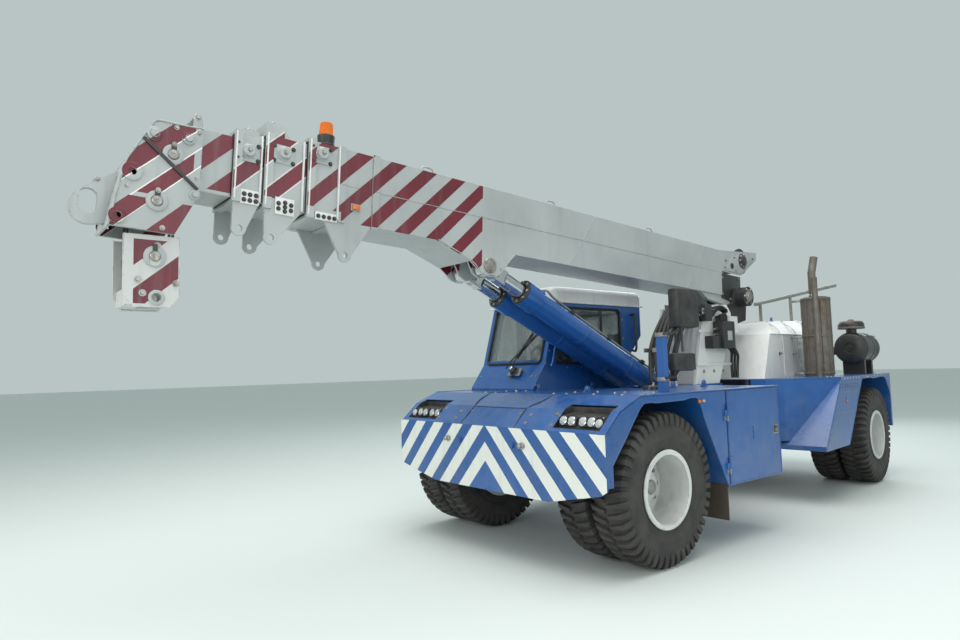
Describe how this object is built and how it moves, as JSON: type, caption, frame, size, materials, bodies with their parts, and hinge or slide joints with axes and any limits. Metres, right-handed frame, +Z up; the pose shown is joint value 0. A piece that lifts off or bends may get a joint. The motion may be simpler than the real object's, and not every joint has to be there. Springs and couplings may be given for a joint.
{
  "type": "mobile crane",
  "caption": "Articulated pick-and-carry mobile crane with a telescopic boom, twin lift rams, a side cab, a hook block and a rear engine deck.",
  "frame": {"origin": "on the ground, under the middle of the parked machine's overall box", "axes": "+X forward along the front half, +Y to the machine's left, +Z up"},
  "size_m": [8.9723, 2.7873, 3.1406],
  "materials": {
    "blue_paint": "gloss machine enamel",
    "light_grey_paint": "satin machine enamel with warning stripes",
    "white_paint": "gloss enamel, dusty",
    "black_paint": "satin black enamel",
    "frame_paint": "dark chassis paint",
    "rim_paint": "white wheel enamel",
    "tyre_rubber": "worn heavy-duty tyre",
    "hose_rubber": "hydraulic hose",
    "flap_rubber": "dirty mudflap",
    "glass_dark": "tinted safety glass",
    "lamp_plastic": "black lamp housing with clear lenses",
    "black_plastic": "moulded black plastic",
    "orange_plastic": "amber beacon",
    "seat_fabric": "woven seat cloth",
    "chrome_rod": "ground chrome",
    "worn_steel": "worn bare steel",
    "cast_grey": "cast and painted iron",
    "wire_rope": "greased wire rope",
    "exhaust_steel": "heat-browned exhaust sheet"
  },
  "bodies": {
    "front_chassis": {"front_frame": "blue_paint", "front_bumper": "blue_paint", "front_deck": "blue_paint", "headlamps": "lamp_plastic", "front_fenders": "blue_paint", "locker_box": "blue_paint", "front_mudflaps": "flap_rubber", "boom_tower": "white_paint", "tower_head": "black_paint", "tower_hoses": "hose_rubber", "mirror_posts": "blue_paint", "mirrors": "black_plastic", "cab_shell": "blue_paint", "cab_glass": "glass_dark", "cab_roof": "white_paint", "driver_seat": "seat_fabric", "cab_controls": "black_plastic", "front_axle": "cast_grey"},
    "locker_door": {"locker_door": "blue_paint"},
    "cab_door": {"cab_door": "blue_paint", "cab_door_glass": "glass_dark"},
    "boom_base": {"boom_base": "light_grey_paint", "boom_base_mouth": "light_grey_paint", "beacon": "orange_plastic"},
    "winch_drum": {"winch_drum": "black_paint"},
    "boom_section_2": {"boom_section_2": "light_grey_paint", "boom_section_2_mouth": "light_grey_paint"},
    "boom_section_3": {"boom_section_3": "light_grey_paint", "boom_section_3_mouth": "light_grey_paint"},
    "boom_head": {"boom_head": "light_grey_paint", "boom_nose": "light_grey_paint", "head_sheaves": "worn_steel"},
    "hook_block": {"hook_block": "light_grey_paint", "hook_sheaves": "worn_steel", "rope_falls": "wire_rope"},
    "lift_barrels": {"lift_barrels": "blue_paint"},
    "lift_rods": {"lift_rods": "chrome_rod"},
    "rear_chassis": {"rear_frame": "frame_paint", "rear_deck": "blue_paint", "rear_sides": "blue_paint", "engine_hood": "white_paint", "engine_block": "cast_grey", "muffler": "exhaust_steel", "air_cleaner": "black_paint", "stowed_pole": "worn_steel", "rear_weight": "blue_paint", "rear_axle": "cast_grey"},
    "engine_door": {"engine_door": "white_paint"},
    "front_left_wheel": {"front_left_tyres": "tyre_rubber", "front_left_rims": "rim_paint"},
    "front_right_wheel": {"front_right_tyres": "tyre_rubber", "front_right_rims": "rim_paint"},
    "rear_left_wheel": {"rear_left_tyres": "tyre_rubber", "rear_left_rims": "rim_paint"},
    "rear_right_wheel": {"rear_right_tyres": "tyre_rubber", "rear_right_rims": "rim_paint"}
  },
  "joints": [
    {"name": "articulation_steer", "type": "hinge", "parent": "front_chassis", "child": "rear_chassis", "pos_m": [-1.06167, 0.13566, 0.9], "axis": [0, 0, 1], "range_deg": [-43.5, 32.5]},
    {"name": "boom_lift", "type": "hinge", "parent": "front_chassis", "child": "boom_base", "pos_m": [-2.00168, 0.13566, 2.2], "axis": [0, -1, 0], "range_deg": [-3.1, 56.9]},
    {"name": "telescope_2", "type": "slide", "parent": "boom_base", "child": "boom_section_2", "axis": [0.9985, 0, 0.0541], "range_m": [0, 3.5]},
    {"name": "telescope_3", "type": "slide", "parent": "boom_section_2", "child": "boom_section_3", "axis": [0.9985, 0, 0.0541], "range_m": [0, 3.5]},
    {"name": "telescope_4", "type": "slide", "parent": "boom_section_3", "child": "boom_head", "axis": [0.9985, 0, 0.0541], "range_m": [0, 3.5]},
    {"name": "hook_swing", "type": "hinge", "parent": "boom_head", "child": "hook_block", "pos_m": [4.08164, 0.13566, 2.45135], "axis": [0, -1, 0], "range_deg": [-56.9, 3.1]},
    {"name": "barrel_swing", "type": "hinge", "parent": "front_chassis", "child": "lift_barrels", "pos_m": [-0.65168, 0.13566, 1.17], "axis": [0, -1, 0], "range_deg": [-3.08, 56.45]},
    {"name": "rod_slide", "type": "slide", "parent": "lift_barrels", "child": "lift_rods", "axis": [0.9036, 0, 0.4284], "range_m": [-0.08814, 1.61768]},
    {"name": "drum_spin", "type": "hinge", "parent": "boom_base", "child": "winch_drum", "pos_m": [-2.15528, 0.13566, 2.63233], "axis": [0, 1, 0], "continuous": true},
    {"name": "cab_door_hinge", "type": "hinge", "parent": "front_chassis", "child": "cab_door", "pos_m": [0.06632, -1.09134, 1.3], "axis": [0, 0, 1], "range_deg": [0, 75]},
    {"name": "locker_door_hinge", "type": "hinge", "parent": "front_chassis", "child": "locker_door", "pos_m": [0.09832, 1.38266, 0.86], "axis": [0, 0, -1], "range_deg": [0, 110]},
    {"name": "engine_door_hinge", "type": "hinge", "parent": "rear_chassis", "child": "engine_door", "pos_m": [-2.98454, 0.58442, 1.535], "axis": [0, 0, -1], "range_deg": [0, 90]},
    {"name": "front_left_spin", "type": "hinge", "parent": "front_chassis", "child": "front_left_wheel", "pos_m": [0.89833, 0.13566, 0.56], "axis": [0, 1, 0], "continuous": true},
    {"name": "rear_left_spin", "type": "hinge", "parent": "rear_chassis", "child": "rear_left_wheel", "pos_m": [-3.54021, -0.103, 0.56], "axis": [-0.0958, 0.9954, 0], "continuous": true},
    {"name": "front_right_spin", "type": "hinge", "parent": "front_chassis", "child": "front_right_wheel", "pos_m": [0.89833, 0.13566, 0.56], "axis": [0, 1, 0], "continuous": true},
    {"name": "rear_right_spin", "type": "hinge", "parent": "rear_chassis", "child": "rear_right_wheel", "pos_m": [-3.54021, -0.103, 0.56], "axis": [-0.0958, 0.9954, 0], "continuous": true}
  ],
  "couplings": [
    {"joint": "telescope_3", "follows": "telescope_2", "ratio": 1},
    {"joint": "telescope_4", "follows": "telescope_2", "ratio": 1},
    {"joint": "hook_swing", "follows": "boom_lift", "ratio": -1},
    {"joint": "barrel_swing", "follows": "boom_lift", "ratio": 0.99217},
    {"joint": "rod_slide", "follows": "boom_lift", "m_per_rad": 1.6289}
  ]
}
